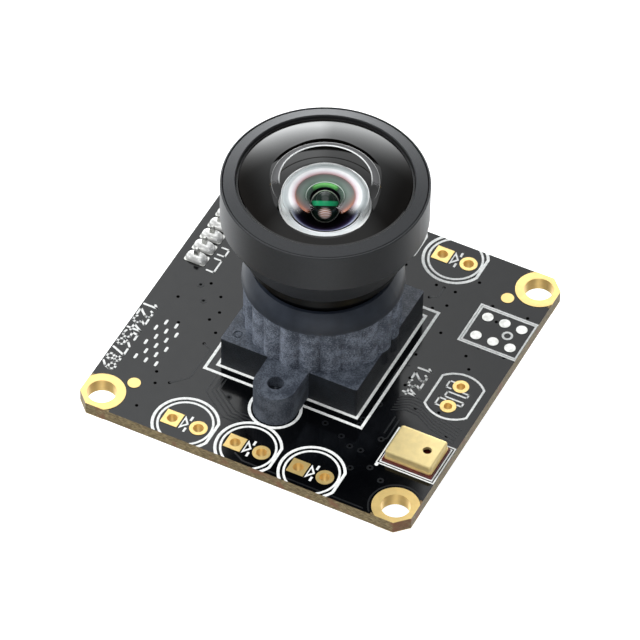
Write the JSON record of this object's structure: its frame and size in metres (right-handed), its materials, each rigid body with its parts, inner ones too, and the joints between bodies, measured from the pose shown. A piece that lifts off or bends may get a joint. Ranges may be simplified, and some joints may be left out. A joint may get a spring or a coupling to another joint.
{
  "type": "board camera module",
  "caption": "Square circuit board camera with a wide-angle screw-focus lens in a moulded holder, a surface microphone and a pin header underneath.",
  "frame": {"origin": "centre of the four corner holes, on the underside of the circuit board", "axes": "+Z square to the board towards the lens, +X along the edge with the row of lamp footprints, towards the microphone, +Y towards the back row"},
  "size_m": [0.032, 0.032, 0.0281],
  "materials": {
    "board": "glass-epoxy board under black solder mask, satin",
    "gold": "gold-plated copper, satin",
    "tin": "tinned copper, satin",
    "solder": "solder, bright and smooth",
    "print": "white printed legend, matt",
    "holder": "moulded plastic, spark-eroded texture",
    "screw": "zinc-plated steel",
    "sensor": "chip carrier, matt",
    "clear_glass": "clear coated glass",
    "filter_glass": "infrared cut filter, reddish",
    "mic_can": "gold-plated pressed can, satin",
    "mic_base": "dark red laminate",
    "chip": "moulded epoxy, matt",
    "lead": "tinned lead frame",
    "crystal_can": "pressed metal lid, satin",
    "ferrite": "ferrite, matt",
    "capacitor": "brown ceramic, satin",
    "resistor": "black glazed ceramic",
    "plug": "moulded natural nylon",
    "lens_metal": "black anodised, fine satin",
    "lens_black": "black anodised, matt",
    "seal": "black rubber",
    "glass_front": "polished, coated on both faces",
    "glass_inner": "polished, green and violet coatings"
  },
  "bodies": {
    "board": {"circuit_board": "board", "corner_hole_plating": "gold", "lamp_pads": "gold", "light_sensor_pads": "gold", "header_pads": "tin", "fiducials": "gold", "connector_pads": "tin", "legend": "print", "lens_holder": "holder", "holder_screws": "screw", "image_sensor": "sensor", "sensor_glass": "clear_glass", "infrared_filter": "filter_glass", "microphone_can": "mic_can", "microphone_base": "mic_base", "controller_body": "chip", "controller_leads": "lead", "memory_body": "chip", "memory_leads": "lead", "regulator_bodies": "chip", "regulator_leads": "lead", "crystal": "crystal_can", "power_inductor": "ferrite", "capacitor_bodies": "capacitor", "capacitor_ends": "tin", "resistor_bodies": "resistor", "resistor_ends": "tin", "connector_housing": "plug", "connector_pins": "tin", "connector_solder": "solder"},
    "focus_travel": {"front_seal": "seal"},
    "lens": {"lens_barrel": "lens_metal", "front_ring": "lens_metal", "front_glass": "glass_front", "second_lens": "glass_inner", "third_lens": "glass_inner", "spacer_ring": "lens_black", "aperture_stop": "lens_black", "rear_lens": "glass_inner", "rear_spacer": "lens_black", "field_lens": "glass_inner", "rear_retainer": "lens_black"}
  },
  "joints": [
    {"name": "focus_slide", "type": "slide", "parent": "board", "child": "focus_travel", "axis": [0, 0, 1], "range_m": [-0.00025, 0.00025]},
    {"name": "focus_turn", "type": "hinge", "parent": "focus_travel", "child": "lens", "pos_m": [0, 0, 0.012], "axis": [0, 0, 1], "range_deg": [-180, 180]}
  ],
  "couplings": [
    {"joint": "focus_slide", "follows": "focus_turn", "m_per_rad": 0.00007957}
  ]
}
